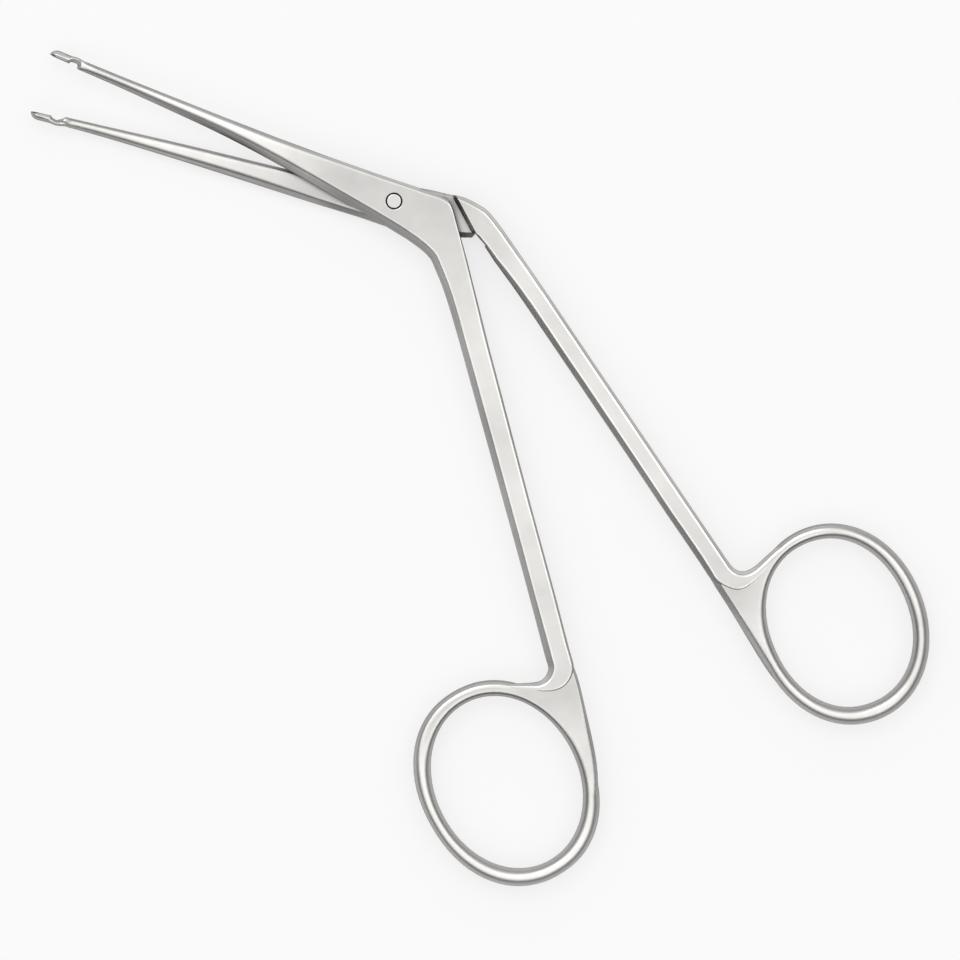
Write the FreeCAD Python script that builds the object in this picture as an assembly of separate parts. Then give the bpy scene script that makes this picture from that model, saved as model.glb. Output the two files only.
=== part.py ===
import FreeCAD, Part
import math
import os

# Ear forceps, millimetres. The origin is where the pivot axis meets the face that the
# forceps rests on. +Z runs up the pivot axis and -X runs out along the closed jaws. The near
# half lies on top at the joint, and the far half below it. Each half is drawn as it lies when
# the jaws are shut, and is then turned about the pivot by half of the opening.

Vector = FreeCAD.Vector
UP = Vector(0, 0, 1)

# Joint
JOINT_THICKNESS = 4.4
LAP_GAP = 0.05
JAW_OPENING = 8.9
STEP_SLANT = 0.45
NEAR_STEP_FOOT = (6.8, -4.0)
NEAR_STEP_ANGLE = 12.0
FAR_STEP_FOOT = (8.7, 2.11)
FAR_STEP_ANGLE = -47.85
NOTCH_APEX = (12.55, -1.68)
NOTCH_SIDES = ((12.24, -2.33), (13.38, -2.25))
NOTCH_STRETCH = 2.4
LOWER_LAP_EDGE = ((6.7, -3.52), (12.5, -2.25))
LOWER_LAP_BEVEL = 0.74
UPPER_LAP_EDGE = ((9.4, 3.0), (6.8, 2.93))
UPPER_LAP_BEVEL = 0.3

# Pivot pin
PIN_DIAMETER = 1.6
PIN_HEAD_DIAMETER = 2.1
PIN_HEAD_HEIGHT = 0.8
PIN_TAIL_DIAMETER = 2.3
PIN_TAIL_HEIGHT = 0.45
PIN_RUNNING_GAP = 0.03
HEAD_GROOVE = 0.16
EDGE_BREAK = 0.08

# Arms and jaw cups
JAW_REACH = 54.3
ARM_TIP_THICKNESS = 1.15
CUP_LENGTH = 3.1
CUP_NOSE = 1.25
CUP_DEPTH = 1.15
CUP_HEIGHT = 2.0
CUP_WALL = 0.22
RIM_GAP = 0.04
RIM_LEAN = 0.33

# Shanks
SHANK_THICKNESS = 3.3
NEAR_SHANK_START = (18.1, -13.68)
NEAR_SHANK_ANGLE = -51.9
NEAR_SHANK_LENGTH = 48.6
NEAR_SHANK_WIDTHS = (3.98, 3.7, 3.66)
NEAR_SHANK_BEVELS = (0.36, 0.98)
FAR_SHANK_START = (23.3, -8.6)
FAR_SHANK_ANGLE = -41.87
FAR_SHANK_LENGTH = 46.0
FAR_SHANK_WIDTHS = (3.5, 3.45, 3.5)
FAR_SHANK_BEVELS = (0.52, 0.9)

# Finger rings
RING_THICKNESS = 2.8
RING_ROUND_WIDTH = 1.05
RING_ROUND_HEIGHT = 1.15
RING_WALL_POINTS = 5
RING_POINTS = 24
CROWN_SINK = 0.06
TONGUE_BEVEL = 0.28

# Edges
EDGE_ROUND = 0.22
ROUND_SHARE = 0.35
BEVEL_SLOPE = 0.95
BEVEL_SHARE = 0.4
DROP_SHARE = 0.9

LAP = JOINT_THICKNESS / 2
NEAR_LAP = LAP + LAP_GAP / 2
FAR_LAP = LAP - LAP_GAP / 2
SHANK_SINK = (JOINT_THICKNESS - SHANK_THICKNESS) / 2
RING_SINK = (JOINT_THICKNESS - RING_THICKNESS) / 2
CUT_MARGIN = 2.0
FAR_AWAY = 40.0

OUT_DIR = "parts"

# Each arm station is its share of the way from the joint to the arm's end, its outer and
# mating edges' distance from the jaws' centre line, the bevels on them, and how far the arm
# has filled out from its tip's thickness to the joint's.
NEAR_BUTT = 2.4
NEAR_ARM_END = 3.8
NEAR_ARM_BACK_BEVELS = (0.15, 0.15)
NEAR_ARM = (
    (1.0, 1.12, 0.3, 0.3, 0.45, -0.35),
    (0.976, 1.15, 0.3, 0.28, 0.45, 0.0),
    (0.88, 1.22, 0.33, 0.28, 0.6, 0.14),
    (0.726, 1.39, 0.53, 0.32, 0.85, 0.36),
    (0.575, 1.58, 0.8, 0.36, 0.95, 0.55),
    (0.424, 1.83, 1.4, 0.42, 1.1, 0.72),
    (0.273, 2.19, 2.24, 0.48, 1.2, 0.87),
    (0.14, 2.61, 3.08, 0.5, 1.25, 0.97),
    (0.0, 3.18, 4.12, 0.5, 1.25, 1.0),
)
FAR_BUTT = 6.8
FAR_ARM_END = 4.1
FAR_ARM_BACK_BEVELS = (0.6, 0.3)
FAR_ARM = (
    (1.0, 1.05, 0.27, 0.4, 0.2, -0.35),
    (0.977, 1.07, 0.28, 0.42, 0.2, 0.0),
    (0.892, 1.18, 0.37, 0.5, 0.22, 0.12),
    (0.751, 1.54, 0.55, 0.6, 0.25, 0.33),
    (0.61, 1.99, 0.68, 0.75, 0.27, 0.52),
    (0.47, 2.5, 0.72, 0.85, 0.28, 0.69),
    (0.365, 2.9, 0.85, 0.88, 0.3, 0.8),
    (0.277, 3.2, 1.25, 0.88, 0.3, 0.88),
    (0.189, 3.46, 1.95, 0.85, 0.3, 0.96),
    (0.102, 3.88, 2.6, 0.8, 0.3, 1.0),
    (0.049, 3.9, 2.88, 0.75, 0.3, 1.0),
    (0.0, 3.47, 2.93, 0.6, 0.3, 1.0),
)

# The round cut under each neck: its radius, where its middle lies behind the tip and from
# the jaws' centre line at the lap, and its lean back and outwards for each millimetre up
NEAR_SCOOP = (0.88, 3.5, 0.45, 0.35, 0.55)
FAR_SCOOP = (1.2, 4.0, -0.65, 0.0, 0.35)

# Each neck station is its distance behind the tip, its centre and half size across, and its
# centre and half size up from the lap.
NECK = (
    (2.3, 0.58, 0.5, 0.0, 0.85),
    (3.3, 0.72, 0.47, 0.0, 0.78),
    (4.0, 0.82, 0.45, 0.05, 0.75),
    (4.9, 0.78, 0.38, 0.2, 0.72),
    (6.0, 0.68, 0.32, 0.42, 0.5),
    (7.8, 0.48, 0.35, 0.55, 0.4),
)

# Each joint station is a point on the right-hand edge, the point across from it on the
# left-hand edge, the bevels there, and how far its flats have sunk towards the shank's.
NEAR_JOINT = (
    ((2.4, 3.18), (2.4, -4.12), 0.5, 1.25, 0.0),
    ((5.2, 3.32), (4.64, -4.49), 0.42, 1.2, 0.0),
    ((6.7, 3.26), (5.6, -4.71), 0.35, 1.2, 0.0),
    ((7.6, 2.93), (6.3, -4.88), 0.25, 1.18, 0.0),
    ((8.3, 2.3), (6.8, -5.03), 0.2, 1.15, 0.0),
    ((8.85, 1.64), (7.2, -5.18), 0.2, 1.15, 0.0),
    ((9.9, 0.3), (7.7, -5.4), 0.2, 1.15, 0.0),
    ((11.18, -1.35), (8.2, -5.68), 0.2, 1.12, 0.0),
    ((12.8, -3.37), (8.96, -6.37), 0.25, 1.1, 0.1),
    ((14.5, -5.62), (10.85, -8.2), 0.28, 1.07, 0.28),
    ((16.26, -7.92), (12.88, -10.46), 0.3, 1.05, 0.45),
)
FAR_JOINT = (
    ((6.8, 2.93), (6.8, -3.47), 0.3, 0.6, 0.0),
    ((8.2, 2.98), (8.4, -3.17), 0.4, 0.7, 0.0),
    ((9.7, 3.0), (10.0, -2.85), 0.55, 0.77, 0.0),
    ((11.2, 2.72), (11.4, -2.52), 0.6, 0.77, 0.0),
    ((12.3, 2.42), (12.4, -2.27), 0.6, 0.65, 0.0),
    ((13.3, 2.05), (13.1, -2.2), 0.6, 0.5, 0.03),
    ((14.6, 1.2), (13.7, -2.6), 0.6, 0.45, 0.08),
    ((15.78, 0.28), (14.3, -3.1), 0.58, 0.5, 0.16),
    ((17.95, -1.59), (15.57, -4.31), 0.56, 0.6, 0.35),
    ((20.2, -3.56), (17.86, -6.25), 0.53, 0.75, 0.55),
)

# Each shank station is its share of the shank's length, and how far its flats have settled.
SHANK_SHARES = ((0.0, 0.62), (0.12, 0.85), (0.5, 1.0), (0.9, 1.0), (1.0, 1.0))

# At the shank's end, distances are along the shank and across it towards the ring. Each
# crown station is a point on the tongue's edge, one on the fillet's edge, how far its flats
# have sunk from the shank's towards the ring's and past them, and the bevels on both edges.
NEAR_CROWN = (
    ((1.6, -1.72), (0.6, 1.85), 0.02, 0.34, 0.92),
    ((2.9, -0.95), (1.2, 2.15), 0.06, 0.3, 0.86),
    ((3.75, 0.2), (1.7, 2.6), 0.12, TONGUE_BEVEL, 0.8),
    ((4.05, 1.6), (2.0, 3.15), 0.2, TONGUE_BEVEL, 0.76),
    ((3.85, 3.1), (2.12, 3.8), 0.3, TONGUE_BEVEL, 0.72),
    ((3.3, 4.8), (2.0, 4.9), 0.5, TONGUE_BEVEL, 0.7),
    ((2.65, 6.7), (1.68, 6.4), 0.7, TONGUE_BEVEL, 0.7),
    ((1.9, 9.0), (1.2, 8.4), 1.0, TONGUE_BEVEL, 0.45),
)
FAR_CROWN = (
    ((1.6, -1.76), (0.7, 1.75), 0.02, 0.85, 0.54),
    ((3.0, -1.45), (1.8, 1.77), 0.05, 0.6, 0.58),
    ((4.3, -0.6), (2.6, 1.93), 0.1, 0.38, 0.62),
    ((5.3, 0.3), (3.2, 2.25), 0.15, TONGUE_BEVEL, 0.65),
    ((5.85, 1.35), (3.65, 2.75), 0.2, TONGUE_BEVEL, 0.66),
    ((5.95, 2.6), (3.93, 3.4), 0.28, TONGUE_BEVEL, 0.66),
    ((5.82, 3.91), (4.02, 4.5), 0.38, TONGUE_BEVEL, 0.66),
    ((5.5, 5.6), (3.9, 5.6), 0.55, TONGUE_BEVEL, 0.6),
    ((5.15, 7.8), (3.6, 7.6), 0.78, TONGUE_BEVEL, 0.55),
    ((4.9, 10.2), (3.5, 9.9), 1.0, TONGUE_BEVEL, 0.5),
)

# Finger rings, in the same distances: centre, half length, half width, turn of the oval, and
# how square it is, where 2 is a plain ellipse
NEAR_RING_OUTER = ((15.13, 12.04), 15.34, 12.58, -13.9, 2.13)
NEAR_RING_INNER = ((15.0, 11.95), 12.91, 10.42, -11.7, 2.03)
FAR_RING_OUTER = ((17.95, 10.26), 14.87, 12.37, -12.0, 2.05)
FAR_RING_INNER = ((17.66, 10.19), 12.47, 10.1, -10.0, 2.1)

# The web's straight side, its bevel, and the corners that are hidden in the crown and ring
NEAR_WEB_EDGE = (
    (0.3, -1.55), (2.0, -1.84), (6.0, -1.87), (8.5, -1.78), (11.5, -1.66), (14.0, -1.51),
    (17.0, -1.12), (20.3, -0.2),
)
NEAR_WEB_BEVEL = 0.4
NEAR_WEB_BACK = (
    (15.0, 6.0), (4.8, 9.4), (2.3, 7.4), (2.6, 4.6), (3.0, 2.4), (2.0, 0.6), (1.0, 0.0),
)
FAR_WEB_EDGE = (
    (0.3, -1.5), (2.5, -1.8), (5.3, -1.87), (9.5, -2.03), (12.7, -2.19), (15.5, -2.33),
    (18.5, -2.33), (21.5, -1.9),
)
FAR_WEB_BEVEL = 0.92
FAR_WEB_BACK = (
    (17.0, 5.0), (7.2, 10.6), (4.5, 8.6), (4.9, 5.5), (4.9, 2.7), (3.8, 0.9), (1.5, 0.2),
)


def direction(angle):
    return Vector(math.cos(math.radians(angle)), math.sin(math.radians(angle)), 0)


def flat(point):
    return Vector(point[0], point[1], 0)


def section(outer, inner, back, front, bevels, back_bevels=None):
    """Upright bevelled section between two plan points, as a loop of pieces. The bevels of its
    upper face meet the face in short curves, and those of its back in sharp edges."""
    outer, inner = flat(outer), flat(inner)
    across = inner - outer
    width = across.Length
    across.normalize()
    widest = BEVEL_SHARE * width
    bevel_out, bevel_in = (min(bevel, widest) for bevel in bevels)
    back_out, back_in = (min(bevel, widest) for bevel in back_bevels or bevels)
    drop_out, back_drop_out = bevel_drops(bevel_out, back_out, front - back)
    drop_in, back_drop_in = bevel_drops(bevel_in, back_in, front - back)
    face_corners = [(bevel_out, front), (width - bevel_in, front)]
    back_corners = [(width - back_in, back), (back_out, back)]
    wall_in = [(width, front - drop_in), (width, back + back_drop_in)]
    wall_out = [(0, back + back_drop_out), (0, front - drop_out)]
    loop = face_corners + wall_in + back_corners + wall_out
    corners = [outer + across * along + UP * height for along, height in loop]
    return softened(corners, [point in face_corners for point in loop])


def bevel_drops(face_bevel, back_bevel, height):
    """How far the bevels on one side run down and up, leaving some wall between them."""
    drops = BEVEL_SLOPE * face_bevel, BEVEL_SLOPE * back_bevel
    share = min(1, DROP_SHARE * height / sum(drops))
    return drops[0] * share, drops[1] * share


def softened(corners, soft):
    """Pieces of a closed loop. A soft corner becomes a short curve, the others stay sharp."""
    ends = []
    for index, corner in enumerate(corners):
        if not soft[index]:
            ends.append((corner, corner))
            continue
        before = corners[index - 1] - corner
        after = corners[(index + 1) % len(corners)] - corner
        trims = [min(EDGE_ROUND, ROUND_SHARE * side.Length) for side in (before, after)]
        ends.append((corner + before.normalize() * trims[0], corner + after.normalize() * trims[1]))
    pieces = []
    for index, corner in enumerate(corners):
        start, end = ends[index]
        if soft[index]:
            pieces.append([start, corner, end])
        pieces.append([end, ends[(index + 1) % len(corners)][0]])
    return pieces


def rail(points, distances):
    curve = Part.BSplineCurve()
    curve.interpolate(Points=points, Parameters=distances)
    return curve


def skin(sections):
    """Solid through a row of sections, with each piece carried along smooth rails."""
    middles = [(row[1][0] + row[1][1]) * 0.5 for row in sections]
    distances = [0.0]
    for before, after in zip(middles, middles[1:]):
        distances.append(distances[-1] + (after - before).Length)
    faces = []
    for piece in range(len(sections[0])):
        count = len(sections[0][piece])
        rails = [rail([row[piece][end] for row in sections], distances) for end in range(count)]
        surface = Part.BSplineSurface()
        surface.buildFromPolesMultsKnots(
            [curve.getPoles() for curve in rails], [count, count], rails[0].getMultiplicities(),
            [0, 1], rails[0].getKnots(), False, False, count - 1, 3,
        )
        faces.append(surface.toShape())
    for row in (sections[0], sections[-1]):
        faces.append(Part.Face(Part.Wire([piece_edge(piece) for piece in row])))
    return sewn(faces)


def sewn(faces):
    """Solid closed by faces that meet edge to edge."""
    shell = Part.makeShell(faces)
    shell.sewShape()
    solid = Part.makeSolid(shell)
    if solid.Volume < 0:
        solid.reverse()
    return solid


def piece_edge(piece):
    curve = Part.BezierCurve()
    curve.setPoles(piece)
    return curve.toShape()


def arm(stations, butt, end, side, lap, back_bevels):
    """Slender arm on one side of the lap plane, thinning from the joint to its end."""
    run = JAW_REACH - end + butt
    full = LAP - LAP_GAP / 2
    sections = []
    for share, outer, mate, bevel_out, bevel_in, fullness in stations:
        place = butt - share * run
        thickness = ARM_TIP_THICKNESS + (full - ARM_TIP_THICKNESS) * fullness
        back, front = sorted((lap, lap + side * thickness))
        edges = (place, side * outer), (place, -side * mate)
        sections.append(section(*edges, back, front, (bevel_out, bevel_in), back_bevels))
    return skin(sections)


def handle(joint, start, angle, length, widths, bevels, crown, ring_side):
    """Joint plate, straight shank and crown in one flowing bar."""
    along = direction(angle)
    left = direction(angle + 90)
    sections = []
    for outer, inner, bevel_out, bevel_in, share in joint:
        sink = share * SHANK_SINK
        sections.append(section(outer, inner, sink, JOINT_THICKNESS - sink, (bevel_out, bevel_in)))
    for share, settle in SHANK_SHARES:
        width = width_along(widths, share)
        middle = flat(start) + along * (length * share)
        sink = SHANK_SINK * settle
        outer = middle + left * (width / 2)
        inner = middle - left * (width / 2)
        sections.append(section(outer, inner, sink, JOINT_THICKNESS - sink, bevels))
    place = shank_end(start, angle, length, ring_side)
    deepest = RING_SINK + CROWN_SINK
    for tongue, fillet, share, tongue_bevel, fillet_bevel in crown:
        sink = SHANK_SINK + (deepest - SHANK_SINK) * share
        edges = [place(*tongue), place(*fillet)]
        crown_bevels = [tongue_bevel, fillet_bevel]
        if ring_side > 0:
            edges.reverse()
            crown_bevels.reverse()
        sections.append(section(*edges, sink, JOINT_THICKNESS - sink, crown_bevels))
    return skin(sections)


def width_along(widths, share):
    """Width at a share of a bar's length, from its widths at the start, middle and end."""
    start, middle, end = widths
    if share < 0.5:
        return start + (middle - start) * share * 2
    return end + (middle - end) * (1 - share) * 2


def shank_end(start, angle, length, ring_side):
    """Function that places a point given along the shank's end and across it to the ring."""
    origin = flat(start) + direction(angle) * length
    along = direction(angle)
    across = direction(angle + 90) * ring_side

    def place(distance, offset):
        return origin + along * distance + across * offset

    return place


def oval(ring, inset, height, place):
    """Closed curve of a slightly squared oval, drawn in by an inset, at a height."""
    centre, half_length, half_width, turn, squareness = ring
    points = []
    power = 2 / squareness
    for index in range(RING_POINTS):
        angle = 2 * math.pi * index / RING_POINTS
        cosine, sine = math.cos(angle), math.sin(angle)
        u = (half_length - inset) * math.copysign(abs(cosine) ** power, cosine)
        v = (half_width - inset) * math.copysign(abs(sine) ** power, sine)
        turned = direction(turn) * u + direction(turn + 90) * v
        points.append(place(centre[0] + turned.x, centre[1] + turned.y) + UP * height)
    curve = Part.BSplineCurve()
    curve.interpolate(Points=points, PeriodicFlag=True)
    return Part.Wire([curve.toShape()])


def ring_levels():
    """Heights of the ring's rounded wall from the bottom up, each with how far it has turned in."""
    low, high = RING_SINK, JOINT_THICKNESS - RING_SINK
    rising, falling = [], []
    for index in range(RING_WALL_POINTS):
        angle = math.pi / 2 * index / (RING_WALL_POINTS - 1)
        rise = RING_ROUND_HEIGHT * (1 - math.cos(angle))
        inset = RING_ROUND_WIDTH * (1 - math.sin(angle))
        rising.append((low + rise, inset))
        falling.insert(0, (high - rise, inset))
    return rising + falling


def ring_body(ring, place):
    wires = [oval(ring, inset, height, place) for height, inset in ring_levels()]
    return Part.makeLoft(wires, True, True)


def ring_hole(ring, place):
    """Cutter for the finger hole. Its wall swells inwards as the outer wall does outwards."""
    levels = [(height, -inset) for height, inset in ring_levels()]
    below = (levels[0][0] - CUT_MARGIN, levels[0][1])
    above = (levels[-1][0] + CUT_MARGIN, levels[-1][1])
    wires = [oval(ring, inset, height, place) for height, inset in [below] + levels + [above]]
    return Part.makeLoft(wires, True, True)


def web(edge, bevel, back, place):
    """Flat plate that carries the shank's straight side along to the ring."""
    low = RING_SINK + bevel
    levels = (
        (RING_SINK, bevel), (low, 0.0), (JOINT_THICKNESS - low, 0.0),
        (JOINT_THICKNESS - RING_SINK, bevel),
    )
    wires = []
    for height, inset in levels:
        points = [place(along, across + inset) + UP * height for along, across in edge]
        curve = Part.BSplineCurve()
        curve.interpolate(points)
        corners = [points[-1]] + [place(*corner) + UP * height for corner in back] + [points[0]]
        lines = [Part.makeLine(start, end) for start, end in zip(corners, corners[1:])]
        wires.append(Part.Wire([curve.toShape()] + lines))
    return Part.makeLoft(wires, True, True)


def step_cutter(foot, angle, lap, side):
    """Block that clears the other half's plate. Its wall leans away from the pivot."""
    along = direction(angle)
    away = direction(angle + 90)
    if away.dot(flat(foot)) < 0:
        away = -away
    reach = LAP + CUT_MARGIN
    wires = []
    for height, lean in ((lap, 0.0), (lap + side * reach, STEP_SLANT * reach / LAP)):
        wall = flat(foot) + away * lean + UP * height
        near, far = wall - along * FAR_AWAY, wall + along * FAR_AWAY
        sweep = away * (FAR_AWAY + lean)
        wires.append(Part.makePolygon([near, far, far - sweep, near - sweep, near]))
    return Part.makeLoft(wires, True, True)


def notch_cutter():
    """Open slot where the step's foot meets the far shank."""
    apex = flat(NOTCH_APEX)
    corners = [apex + (flat(side) - apex) * NOTCH_STRETCH for side in NOTCH_SIDES]
    loop = [corner - UP * CUT_MARGIN for corner in (apex, corners[0], corners[1], apex)]
    return Part.Face(Part.makePolygon(loop)).extrude(UP * (JOINT_THICKNESS + 2 * CUT_MARGIN))


def lap_bevel(edge, width):
    """Wedge that bevels an edge of the far plate at the lap. The plate lies to its left."""
    start, end = (flat(point) for point in edge)
    inward = UP.cross(end - start).normalize()
    outward = width + CUT_MARGIN
    corners = [
        inward * width + UP * FAR_LAP,
        inward * -CUT_MARGIN + UP * (FAR_LAP - BEVEL_SLOPE * outward),
        inward * -CUT_MARGIN + UP * (FAR_LAP + BEVEL_SLOPE),
    ]
    loop = [start + corner for corner in corners]
    return Part.Face(Part.makePolygon(loop + loop[:1])).extrude(end - start)


def bullet(tip, nose, length, half_width, half_height):
    """Round-nosed bar that runs from its tip towards the joint."""
    body = Part.makeCylinder(1, length / nose - 1, Vector(1, 0, 0), Vector(1, 0, 0))
    ball = Part.makeSphere(1, Vector(1, 0, 0))
    matrix = FreeCAD.Matrix()
    matrix.scale(nose, half_width, half_height)
    shape = body.fuse(ball).removeSplitter().transformGeometry(matrix)
    shape.translate(Vector(tip, 0, LAP))
    return shape


def neck(side):
    """Swan neck that lifts the cup from the arm's layer to the middle of the joint."""
    wires = []
    for behind, across, half_width, lift, half_height in NECK:
        centre = Vector(behind - JAW_REACH, side * across, LAP + side * lift)
        wires.append(ellipse(centre, half_width, half_height))
    return Part.makeLoft(wires, True, False)


def ellipse(centre, half_width, half_height):
    """Upright ellipse in a plane across the jaw."""
    tall = half_height > half_width
    major, minor = (half_height, half_width) if tall else (half_width, half_height)
    wide_axis = UP if tall else Vector(0, 1, 0)
    other_axis = Vector(1, 0, 0).cross(wide_axis)
    curve = Part.Ellipse(centre + wide_axis * major, centre + other_axis * minor, centre)
    return Part.Wire([curve.toShape()])


def rim_cutter(side):
    """Everything past the leaning plane where the two cups meet."""
    half_height = CUP_HEIGHT / 2
    rise = RIM_LEAN / CUP_HEIGHT
    tall = CUP_HEIGHT
    low = side * (RIM_GAP / 2 - rise * (tall - half_height))
    high = side * (RIM_GAP / 2 + rise * (tall + half_height))
    outside = -side * CUT_MARGIN
    start = -JAW_REACH - CUT_MARGIN
    corners = [
        Vector(start, low, LAP - tall), Vector(start, high, LAP + tall),
        Vector(start, outside, LAP + tall), Vector(start, outside, LAP - tall),
    ]
    face = Part.Face(Part.makePolygon(corners + corners[:1]))
    return face.extrude(Vector(CUT_MARGIN + CUP_LENGTH, 0, 0))


def scoop(values, side):
    """Leaning round cut under the neck, between the cup and the arm's end."""
    radius, behind, below, lean_back, lean_out = values
    middle = Vector(behind - JAW_REACH, -below, LAP)
    lean = Vector(lean_back, side * lean_out, 1)
    length = 2 * JOINT_THICKNESS
    lean.normalize()
    return Part.makeCylinder(radius, length, middle - lean * (length / 2), lean)


def jaw(side):
    """Cup with its neck, before the hollow and the scoop are cut."""
    half_height = CUP_HEIGHT / 2
    cup = bullet(-JAW_REACH, CUP_NOSE, CUP_LENGTH, CUP_DEPTH, half_height)
    return cup.cut(rim_cutter(side)).fuse(neck(side))


def hollow():
    """Inside of both cups."""
    return bullet(
        CUP_WALL - JAW_REACH, CUP_NOSE - CUP_WALL, CUP_LENGTH - 2 * CUP_WALL,
        CUP_DEPTH - CUP_WALL, CUP_HEIGHT / 2 - CUP_WALL,
    )


def near_half():
    body = handle(
        NEAR_JOINT, NEAR_SHANK_START, NEAR_SHANK_ANGLE, NEAR_SHANK_LENGTH, NEAR_SHANK_WIDTHS,
        NEAR_SHANK_BEVELS, NEAR_CROWN, -1,
    )
    body = body.cut(step_cutter(NEAR_STEP_FOOT, NEAR_STEP_ANGLE, NEAR_LAP, -1))
    place = shank_end(NEAR_SHANK_START, NEAR_SHANK_ANGLE, NEAR_SHANK_LENGTH, -1)
    plate = web(NEAR_WEB_EDGE, NEAR_WEB_BEVEL, NEAR_WEB_BACK, place)
    body = body.fuse([ring_body(NEAR_RING_OUTER, place), plate])
    body = body.cut(ring_hole(NEAR_RING_INNER, place))
    bar = arm(NEAR_ARM, NEAR_BUTT, NEAR_ARM_END, 1, NEAR_LAP, NEAR_ARM_BACK_BEVELS)
    cut = scoop(NEAR_SCOOP, 1)
    body = body.fuse([bar.cut(cut), jaw(1).cut(cut)])
    body = body.cut(hollow())
    body = body.cut(head_bore())
    body.rotate(Vector(), UP, -JAW_OPENING / 2)
    return body


def far_half():
    body = handle(
        FAR_JOINT, FAR_SHANK_START, FAR_SHANK_ANGLE, FAR_SHANK_LENGTH, FAR_SHANK_WIDTHS,
        FAR_SHANK_BEVELS, FAR_CROWN, 1,
    )
    body = body.cut(step_cutter(FAR_STEP_FOOT, FAR_STEP_ANGLE, FAR_LAP, 1))
    body = body.cut([
        notch_cutter(), lap_bevel(LOWER_LAP_EDGE, LOWER_LAP_BEVEL),
        lap_bevel(UPPER_LAP_EDGE, UPPER_LAP_BEVEL),
    ])
    place = shank_end(FAR_SHANK_START, FAR_SHANK_ANGLE, FAR_SHANK_LENGTH, 1)
    plate = web(FAR_WEB_EDGE, FAR_WEB_BEVEL, FAR_WEB_BACK, place)
    body = body.fuse([ring_body(FAR_RING_OUTER, place), plate])
    body = body.cut(ring_hole(FAR_RING_INNER, place))
    bar = arm(FAR_ARM, FAR_BUTT, FAR_ARM_END, -1, FAR_LAP, FAR_ARM_BACK_BEVELS)
    cut = scoop(FAR_SCOOP, -1)
    body = body.fuse([bar.cut(cut), jaw(-1).cut(cut)])
    body = body.cut(hollow())
    body = body.cut(tail_bore())
    body.rotate(Vector(), UP, JAW_OPENING / 2)
    return body


def head_bore():
    """Running bore through the near half, with the recess for the pin's head."""
    bore_length = JOINT_THICKNESS + 2 * CUT_MARGIN
    bore = Part.makeCylinder(PIN_DIAMETER / 2 + PIN_RUNNING_GAP, bore_length, UP * -CUT_MARGIN)
    floor = JOINT_THICKNESS - PIN_HEAD_HEIGHT - PIN_RUNNING_GAP
    recess_radius = PIN_HEAD_DIAMETER / 2 + HEAD_GROOVE
    return bore.fuse(Part.makeCylinder(recess_radius, JOINT_THICKNESS, UP * floor))


def tail_bore():
    """Bore that the pin's shank and tail fill, open below the far half."""
    return pin_shaft().fuse(Part.makeCylinder(PIN_TAIL_DIAMETER / 2, CUT_MARGIN, UP * -CUT_MARGIN))


def pin_shaft():
    """Plain shank of the pin with its spread tail."""
    shaft = Part.makeCylinder(PIN_DIAMETER / 2, JOINT_THICKNESS - PIN_HEAD_HEIGHT)
    tail = Part.makeCone(PIN_TAIL_DIAMETER / 2, PIN_DIAMETER / 2, PIN_TAIL_HEIGHT)
    return shaft.fuse(tail)


def pivot_pin():
    head = Part.makeCylinder(
        PIN_HEAD_DIAMETER / 2, PIN_HEAD_HEIGHT, UP * (JOINT_THICKNESS - PIN_HEAD_HEIGHT)
    )
    top = [edge for edge in head.Edges if edge.BoundBox.ZMin > JOINT_THICKNESS - EDGE_BREAK]
    return head.makeChamfer(EDGE_BREAK, top).fuse(pin_shaft()).removeSplitter()


NODES = {"near_half": near_half, "far_half": far_half, "pivot_pin": pivot_pin}

os.makedirs(OUT_DIR, exist_ok=True)
for name, make in NODES.items():
    shape = make()
    print(name, shape.isValid(), len(shape.Solids), round(shape.Volume, 2))
    shape.exportStep(f"{OUT_DIR}/{name}.step")
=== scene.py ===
# %% [markdown]
# # Ear forceps in satin steel
# The forceps lies on a pale table and is seen from straight above. It has three pieces: the near
# half, which is on top at the joint, the far half under it, and the pin that they turn on. Their
# forms come packed from the CAD step. This lesson gives them a satin steel finish and a plain
# studio around them.

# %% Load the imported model
import math

import bmesh
import bpy
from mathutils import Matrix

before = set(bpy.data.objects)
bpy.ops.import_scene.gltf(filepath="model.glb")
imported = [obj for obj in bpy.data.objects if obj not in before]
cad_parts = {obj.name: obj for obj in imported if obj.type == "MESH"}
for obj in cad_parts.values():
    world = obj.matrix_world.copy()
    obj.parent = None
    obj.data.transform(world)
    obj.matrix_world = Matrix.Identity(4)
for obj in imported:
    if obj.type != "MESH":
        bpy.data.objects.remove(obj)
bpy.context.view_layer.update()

# %% [markdown]
# ## Camera
# An instrument like this one is photographed from high above with a long lens, so that all of it
# is seen square on. An orthographic camera would do the same here, but a long lens keeps a little
# of the true depth at the rings. The camera looks straight down, and it is turned about its line
# of sight until the arms lie in the frame as they do in the photograph.

# %% Look straight down through a long lens
MM = 0.001
VIEW_MIDDLE = (24.65 * MM, -34.33 * MM)
VIEW_WIDTH = 139.2 * MM
VIEW_TURN = math.radians(18.55)
CAMERA_HEIGHT = 1.5
MID_THICKNESS = 2.2 * MM

camera_data = bpy.data.cameras.new("overhead_camera")
camera_data.lens = camera_data.sensor_width * (CAMERA_HEIGHT - MID_THICKNESS) / VIEW_WIDTH
camera = bpy.data.objects.new("overhead_camera", camera_data)
camera.location = (*VIEW_MIDDLE, CAMERA_HEIGHT)
camera.rotation_euler = (0, 0, VIEW_TURN)
bpy.context.scene.collection.objects.link(camera)
bpy.context.scene.camera = camera
bpy.context.scene.view_settings.view_transform = "Standard"
print(f"lens: {camera_data.lens:.0f} mm")

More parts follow.
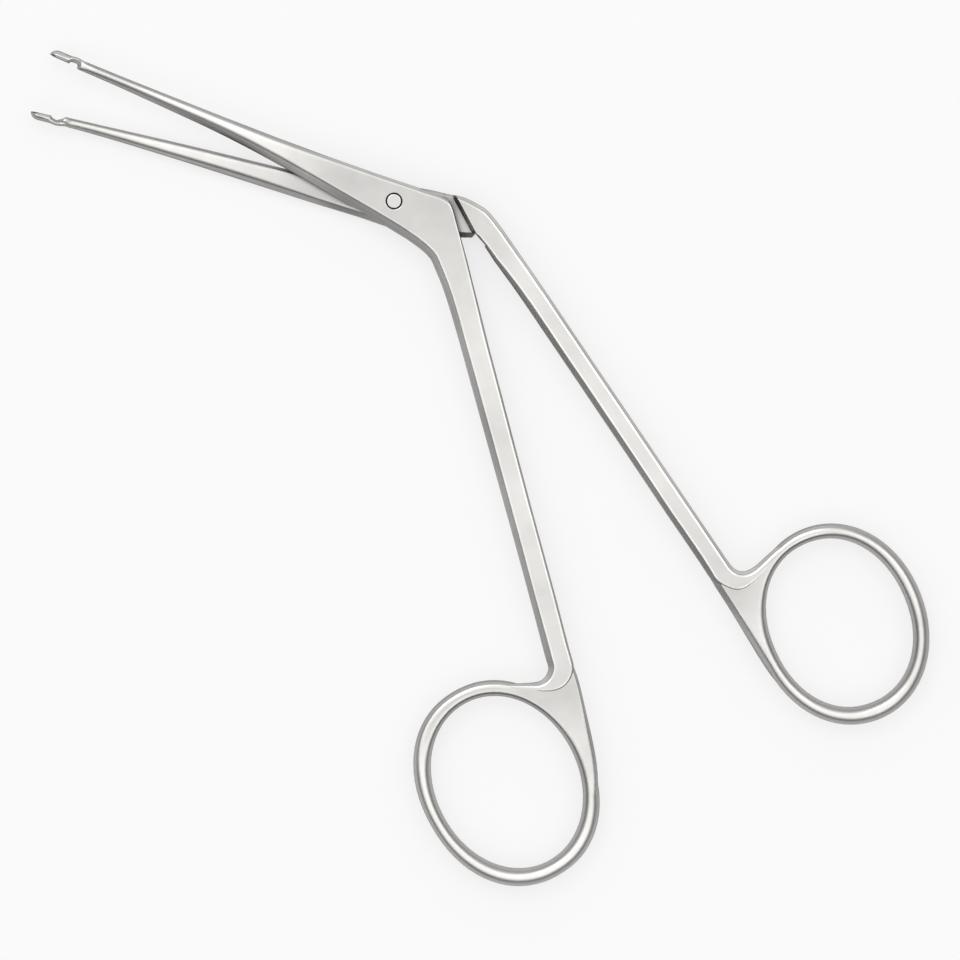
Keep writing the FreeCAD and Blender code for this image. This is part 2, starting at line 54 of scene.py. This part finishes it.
# %% [markdown]
# ## Writing shader maths
# A shader is a net of nodes, and a long one is hard to read as a list of links. A small class that
# holds one output socket lets the maths be written as Python sums instead: each sum or product
# adds the Math node that it needs. Every other node comes from the one method `node`.

# %% A wire that can be added and multiplied
class Wire:
    """One output of a node. Sums and products written with it add Math nodes to its tree."""

    def __init__(self, tree, socket=None):
        self.tree = tree
        self.socket = socket

    def node(self, kind, settings, inputs, output=0):
        """Add a node: its type, its settings, and the value or wire for each input."""
        made = self.tree.nodes.new("ShaderNode" + kind)
        for name, value in settings.items():
            if name == "stops":
                set_stops(made.color_ramp, value)
            else:
                setattr(made, name, value)
        for name, value in inputs.items():
            if isinstance(value, Wire):
                self.tree.links.new(value.socket, made.inputs[name])
            else:
                made.inputs[name].default_value = value
        return None if output is None else Wire(self.tree, made.outputs[output])

    def maths(self, operation, *values):
        return self.node("Math", {"operation": operation}, dict(enumerate(values)))

    def part(self, axis):
        """One of the three numbers of a vector."""
        return self.node("SeparateXYZ", {}, {"Vector": self}, axis)

    def ease(self, start, end):
        """A soft step from 0 at start to 1 at end."""
        inputs = {"Value": self, "From Min": start, "From Max": end}
        return self.node("MapRange", {"interpolation_type": "SMOOTHSTEP"}, inputs)

    def mix(self, first, second):
        """A colour between two. The node's colour inputs come after its float and vector ones."""
        return self.node("Mix", {"data_type": "RGBA"}, {0: self, 6: first, 7: second}, 2)

    def __add__(self, other):
        return self.maths("ADD", self, other)

    def __sub__(self, other):
        return self.maths("SUBTRACT", self, other)

    def __rsub__(self, other):
        return self.maths("SUBTRACT", other, self)

    def __mul__(self, other):
        return self.maths("MULTIPLY", self, other)

    __radd__ = __add__
    __rmul__ = __mul__


print("a wire takes + - and *, with a number on either side")

# %% [markdown]
# ## Ramps and materials
# A colour ramp turns a number into a tone: each stop says which grey stands at which place, and
# the greys between are blended. A new material comes with nodes that aren't wanted here, so they
# are cleared, and each finish is built from nothing.

# %% Stops for a ramp, and an empty material
def set_stops(ramp, stops):
    """Give a colour ramp its stops, each a place from 0 to 1 and a grey value."""
    while len(ramp.elements) < len(stops):
        ramp.elements.new(1.0)
    for element, (place, grey) in zip(ramp.elements, stops):
        element.position = place
        element.color = (grey, grey, grey, 1.0)


def new_tree(name):
    """A material with an empty tree, and a wire to start that tree from."""
    material = bpy.data.materials.new(name)
    material.use_nodes = True
    tree = material.node_tree
    tree.nodes.clear()
    return material, Wire(tree)


print("helpers: set_stops, new_tree")

# %% [markdown]
# ## Rounded edges
# A soft wheel takes the sharpness off every edge of the instrument. The joint plates and the
# shanks keep crisp bevels, but the arms and the finger rings are finished by hand on a slack belt,
# which leaves them nearly round. A Bevel node rounds the normals without adding a face. Two of
# them, a narrow one and a wide one, are blended along the instrument. The wide one's normals lean
# further outwards, so that a thin arm looks full.

# %% Normals with rounded edges
EDGE_ROUNDING = 0.28 * MM
HAND_ROUNDING = 1.0 * MM
HAND_FULLNESS = (1.7, 1.7, 1.0)
BEVEL_SAMPLES = 12
ARM_START, ARM_SLENDER = -6.0 * MM, -24.0 * MM
NECK_START, NECK_END = -48.0 * MM, -49.5 * MM
RING_START, RING_FULL = 75.0 * MM, 84.0 * MM


def pivot_distance(wire, place):
    return wire.node("VectorMath", {"operation": "LENGTH"}, {0: place}, "Value")


def arms_and_rings_mask(wire, place):
    """1 on the arms and the rings, 0 elsewhere."""
    along = place.part("X")
    arms = along.ease(ARM_START, ARM_SLENDER) - along.ease(NECK_START, NECK_END)
    return arms + pivot_distance(wire, place).ease(RING_START, RING_FULL)


def rounded_normal(wire, on_arms_and_rings):
    """Normal with its edges rounded a little, and rounded more on the arms and the rings."""
    crisp = wire.node("Bevel", {"samples": BEVEL_SAMPLES}, {"Radius": EDGE_ROUNDING})
    soft = wire.node("Bevel", {"samples": BEVEL_SAMPLES}, {"Radius": HAND_ROUNDING})
    fuller = wire.node("VectorMath", {"operation": "MULTIPLY"}, {0: soft, 1: HAND_FULLNESS})
    soft = wire.node("VectorMath", {"operation": "NORMALIZE"}, {0: fuller})
    return wire.node("Mix", {"data_type": "VECTOR"}, {0: on_arms_and_rings, 4: crisp, 5: soft}, 1)


print(f"belt: from {-ARM_START / MM:.0f} mm on the arms, {RING_START / MM:.0f} mm at the rings")

# %% [markdown]
# ## Painted highlight and shade by tilt
# The colour is painted lighter or darker by how far the surface tilts from level: pale on the
# flats, a painted highlight along their rounded edges, painted shade with a paler streak on the
# bevels, and deeper painted shade on the steep walls. The normals are rounded first, so the tones
# run softly into each other. One colour ramp holds these painted tones for the crisp parts, and
# another for the arms and the rings.

# %% Painted tones for the crisp parts and for the arms and rings
CRISP_PAINTED_TONES = (
    (0.0, 0.15), (0.35, 0.24), (0.6, 0.4), (0.7, 0.68), (0.8, 0.46), (0.87, 0.6), (0.93, 0.94),
    (0.97, 0.8), (1.0, 0.72),
)
ROUNDED_PAINTED_TONES = (
    (0.0, 0.2), (0.25, 0.42), (0.5, 0.46), (0.72, 0.34), (0.87, 0.44), (0.94, 0.66), (0.98, 0.96),
    (1.0, 0.9),
)
STEEL_TINT = (1.0, 0.982, 0.955)


def painted_tilt_tone(wire, normal, on_arms_and_rings):
    """Warm grey with painted highlight and shade, by how far the surface tilts from level."""
    upward = wire.maths("ABSOLUTE", normal.part("Z"))
    crisp_painted_tone = wire.node("ValToRGB", {"stops": CRISP_PAINTED_TONES}, {"Fac": upward})
    rounded_painted_tone = wire.node("ValToRGB", {"stops": ROUNDED_PAINTED_TONES}, {"Fac": upward})
    tone = on_arms_and_rings.mix(crisp_painted_tone, rounded_painted_tone)
    return wire.node("VectorMath", {"operation": "MULTIPLY"}, {0: tone, 1: STEEL_TINT})


# The two ramps hold painted highlight and painted shade.
print("wheel tones:", len(CRISP_PAINTED_TONES), "stops, belt tones:", len(ROUNDED_PAINTED_TONES), "stops")

# %% [markdown]
# ## Painted shade in the cups
# The two jaws are small cups that face each other, and their hollows are given painted shade.
# Nothing of the outside of the jaws may darken with them. So the hollows are found by two things
# together: their place at the end of the arm, and that their surface faces the other jaw. Both are
# taken in the piece's own directions, so the painted shade stays in the hollows when the jaws open
# and close.

# %% Hollows of the cups
CUP_START, CUP_FULL = -50.6 * MM, -51.2 * MM
CUP_MOUTHS = {"near_half": (0, -1, 0), "far_half": (0, 1, 0), "pivot_pin": (0, 0, 1)}
MOUTH_TURNED, MOUTH_FACING = 0.05, 0.4
CUP_PAINTED_SHADE = 0.6


def cup_hollow(wire, place, normal, mouth):
    """1 inside a jaw cup, where the surface faces the other jaw: where shade is painted."""
    turning = {"vector_type": "NORMAL", "convert_from": "WORLD", "convert_to": "OBJECT"}
    own_normal = wire.node("VectorTransform", turning, {"Vector": normal})
    both = {0: own_normal, 1: mouth}
    facing = wire.node("VectorMath", {"operation": "DOT_PRODUCT"}, both, "Value")
    return facing.ease(MOUTH_TURNED, MOUTH_FACING) * place.part("X").ease(CUP_START, CUP_FULL)


print(f"cups: darker by {CUP_PAINTED_SHADE} from {-CUP_FULL / MM:.1f} mm out")

# %% [markdown]
# ## Lighter shanks and painted shade
# The shanks come up a little lighter than the joint. The webs by the rings, and all else that lies
# lower than the shanks' faces, get a little painted shade, and painted shade darkens the slot and
# the groove round the pin. An Ambient Occlusion node with a short reach finds such recesses.

# %% Lighter shanks, painted shade lower down and in recesses
HALF = 0.5
JOINT_REACH, SHANK_REACH = 10.0 * MM, 28.0 * MM
SHANK_LIGHTENING = 0.13
WEB_LEVEL, SHANK_LEVEL = 3.63 * MM, 3.8 * MM
WEB_PAINTED_SHADE = 0.1
RECESS_SIZE = 0.9 * MM
RECESS_SAMPLES = 8
RECESS_SHUT, RECESS_OPEN = 0.3, 0.95
RECESS_PAINTED_SHADE = 0.8


def tone_by_place(wire, place, normal, name):
    """How much lighter or darker the steel is by place: lighter shanks, and painted shade in the
    cup hollows and on the lower surfaces.
    """
    shanks = pivot_distance(wire, place).ease(JOINT_REACH, SHANK_REACH) - HALF
    low_surfaces = 1 - place.part("Z").ease(WEB_LEVEL, SHANK_LEVEL)
    hollow_shade = cup_hollow(wire, place, normal, CUP_MOUTHS[name])
    return shanks * SHANK_LIGHTENING - low_surfaces * WEB_PAINTED_SHADE - hollow_shade * CUP_PAINTED_SHADE


def recess_shade(wire):
    """1 in the open, with more painted shade the less room there is in front of the surface."""
    room = {"Distance": RECESS_SIZE}
    openness = wire.node("AmbientOcclusion", {"samples": RECESS_SAMPLES}, room, "AO")
    return openness.ease(RECESS_SHUT, RECESS_OPEN) * RECESS_PAINTED_SHADE + (1 - RECESS_PAINTED_SHADE)


print(f"recesses: under {RECESS_SIZE / MM:.1f} mm, down to {1 - RECESS_PAINTED_SHADE:.1f} of the tone")

# %% [markdown]
# ## Satin steel
# Surgical steel is matt-polished so that it doesn't dazzle under a theatre lamp. Seen close, the
# matting is a very fine even grain, with short streaks and soft clouds where the hand pressed
# harder. Three noises of different sizes make them, and the grain also lifts the surface by a few
# thousandths of a millimetre. The pin's small head comes out a little lighter than the halves.

# %% Finish the pieces
GRAIN_PER_METRE = 4200
GRAIN_DEPTH = 0.06
GRAIN_HEIGHT = 0.004 * MM
STREAKS_PER_METRE = 420
STREAK_DEPTH = 0.14
CLOUDS_PER_METRE = 70
CLOUD_DEPTH = 0.42
NOISE_DETAIL = 2.0
ROUGHNESS = 0.3
ROUGHNESS_DEPTH = 0.12
LIGHTNESS = {"pivot_pin": 1.12, "near_half": 1.0, "far_half": 1.0}


def noise(wire, place, per_metre):
    """Noise that goes as far below 0 as above it."""
    inputs = {"Vector": place, "Scale": per_metre, "Detail": NOISE_DETAIL}
    return wire.node("TexNoise", {}, inputs) - HALF


def satin_steel(name):
    material, wire = new_tree(name + "_satin")
    place = wire.node("TexCoord", {}, {}, "Object")
    on_arms_and_rings = arms_and_rings_mask(wire, place)
    normal = rounded_normal(wire, on_arms_and_rings)
    grain = noise(wire, place, GRAIN_PER_METRE)
    streaks = noise(wire, place, STREAKS_PER_METRE)
    clouds = noise(wire, place, CLOUDS_PER_METRE)
    shade = grain * GRAIN_DEPTH + streaks * STREAK_DEPTH + clouds * CLOUD_DEPTH
    # The place terms lighten the shanks, and put painted shade in the cup hollows and on the lower
    # surfaces.
    shade = shade + tone_by_place(wire, place, normal, name) + LIGHTNESS[name]
    # The tilt tone carries painted highlight and shade, and the recess term carries painted shade.
    toned = {"Vector": painted_tilt_tone(wire, normal, on_arms_and_rings), "Scale": shade * recess_shade(wire)}
    grained = {"Height": grain, "Distance": GRAIN_HEIGHT, "Normal": normal}
    finish = {
        "Base Color": wire.node("VectorMath", {"operation": "SCALE"}, toned, "Vector"),
        "Metallic": 1.0,
        "Roughness": ROUGHNESS + clouds * ROUGHNESS_DEPTH,
        "Normal": wire.node("Bump", {}, grained, "Normal"),
    }
    surface = wire.node("BsdfPrincipled", {}, finish, "BSDF")
    wire.node("OutputMaterial", {}, {"Surface": surface}, None)
    return material


for name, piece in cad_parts.items():
    piece.data.materials.clear()
    piece.data.materials.append(satin_steel(name))
    print(name, "finish:", piece.data.materials[0].name)

# %% [markdown]
# ## Table
# The forceps lies on a plain pale table that runs past every view of it. A big flat disc is all
# that it needs.

# %% A flat disc
TABLE_RADIUS = 3.0
TABLE_SIDES = 96
TABLE_DROP = 0.01 * MM

disc = bmesh.new()
bmesh.ops.create_circle(disc, cap_ends=True, segments=TABLE_SIDES, radius=TABLE_RADIUS)
table_mesh = bpy.data.meshes.new("table")
disc.to_mesh(table_mesh)
disc.free()
table = bpy.data.objects.new("table", table_mesh)
table.location = (0, 0, -TABLE_DROP)
bpy.context.scene.collection.objects.link(table)
print(f"table: {2 * TABLE_RADIUS:.0f} m across, its top at {-TABLE_DROP / MM:.2f} mm")

# %% [markdown]
# ## The table's white
# To the camera, and to the steel that mirrors it, most of the table's white glows evenly, as a
# light table's does. The rest is matt and takes the soft shadow of the forceps. A Light Path node
# tells the rays apart, and a Mix Shader shares the white out between the two.

# %% White that still takes a shadow
TABLE_COLOUR = (0.965, 0.965, 0.965, 1.0)
TABLE_GLOW = 0.75

table_material, wire = new_tree("pale_table")
seen = wire.node("LightPath", {}, {}, "Is Camera Ray")
for ray in ("Is Glossy Ray", "Is Transmission Ray"):
    seen = seen + wire.node("LightPath", {}, {}, ray)
matt = wire.node("BsdfDiffuse", {}, {"Color": TABLE_COLOUR}, "BSDF")
glow = wire.node("Emission", {}, {"Color": TABLE_COLOUR, "Strength": 1.0}, "Emission")
surface = wire.node("MixShader", {}, {0: seen * TABLE_GLOW, 1: matt, 2: glow}, "Shader")
wire.node("OutputMaterial", {}, {"Surface": surface}, None)
table_mesh.materials.append(table_material)
print("table finish:", table_material.name)

# %% [markdown]
# ## Room
# Satin metal shows its surroundings blurred, so the room matters as much as the lamps. A bright
# ceiling lights the flats. A bevel at 45 degrees mirrors the foot of a wall, and the wall behind
# the arms is pale while the one behind the rings is dark, so bevels that face the arms' side are
# pale and those that face the rings are dark.

# %% Room with a bright ceiling
WALL_LIGHTS = ((0.0, 0.16), (0.4, 0.26), (0.62, 0.4), (1.0, 0.95))
CEILING_COLOUR = (1.0, 1.0, 1.0, 1.0)
CEILING_START, CEILING_FULL = 0.25, 0.85

world = bpy.data.worlds.new("soft_room")
bpy.context.scene.world = world
world.use_nodes = True
world.node_tree.nodes.clear()
wire = Wire(world.node_tree)
gaze = wire.node("TexCoord", {}, {}, "Generated")
frame_up = (-math.sin(VIEW_TURN), math.cos(VIEW_TURN), 0.0)
facing = wire.node("VectorMath", {"operation": "DOT_PRODUCT"}, {0: gaze, 1: frame_up}, "Value")
wall = wire.node("ValToRGB", {"stops": WALL_LIGHTS}, {"Fac": facing * HALF + HALF})
ceiling = gaze.part("Z").ease(CEILING_START, CEILING_FULL)
light = ceiling.mix(wall, CEILING_COLOUR)
background = wire.node("Background", {}, {"Color": light}, "Background")
wire.node("OutputWorld", {}, {"Surface": background}, None)
print("walls:", WALL_LIGHTS[0][1], "behind the rings to", WALL_LIGHTS[-1][1], "behind the arms")

# %% [markdown]
# ## Lamps
# The lamps light the rounded edges. Four square ones stand about half way up a dome over the
# forceps, all aimed at its middle: the key lamp at the upper left of the view, and weaker ones at
# the upper right and the two lower corners. They are large, so that what the steel mirrors of
# them has soft edges.

# %% Lamps at half height
LAMP_SIDE = 0.5
LAMP_DISTANCE = 1.3
LAMPS = {
    "key_lamp": (120, 55, 1.6),
    "fill_lamp": (35, 50, 0.8),
    "low_left_lamp": (215, 35, 0.7),
    "low_right_lamp": (305, 50, 0.4),
}


def aim(lamp, bearing, elevation):
    """Place a lamp on a dome over the forceps, facing its middle. Bearings are in the view."""
    turn = math.radians(bearing) + VIEW_TURN
    rise = math.radians(elevation)
    lamp.location = (
        VIEW_MIDDLE[0] + LAMP_DISTANCE * math.cos(rise) * math.cos(turn),
        VIEW_MIDDLE[1] + LAMP_DISTANCE * math.cos(rise) * math.sin(turn),
        LAMP_DISTANCE * math.sin(rise),
    )
    lamp.rotation_euler = (math.pi / 2 - rise, 0, turn + math.pi / 2)


for name, (bearing, elevation, watts) in LAMPS.items():
    data = bpy.data.lights.new(name, "AREA")
    data.size = LAMP_SIDE
    data.energy = watts
    lamp = bpy.data.objects.new(name, data)
    aim(lamp, bearing, elevation)
    bpy.context.scene.collection.objects.link(lamp)
    print(name, "at", [round(value, 2) for value in lamp.location])
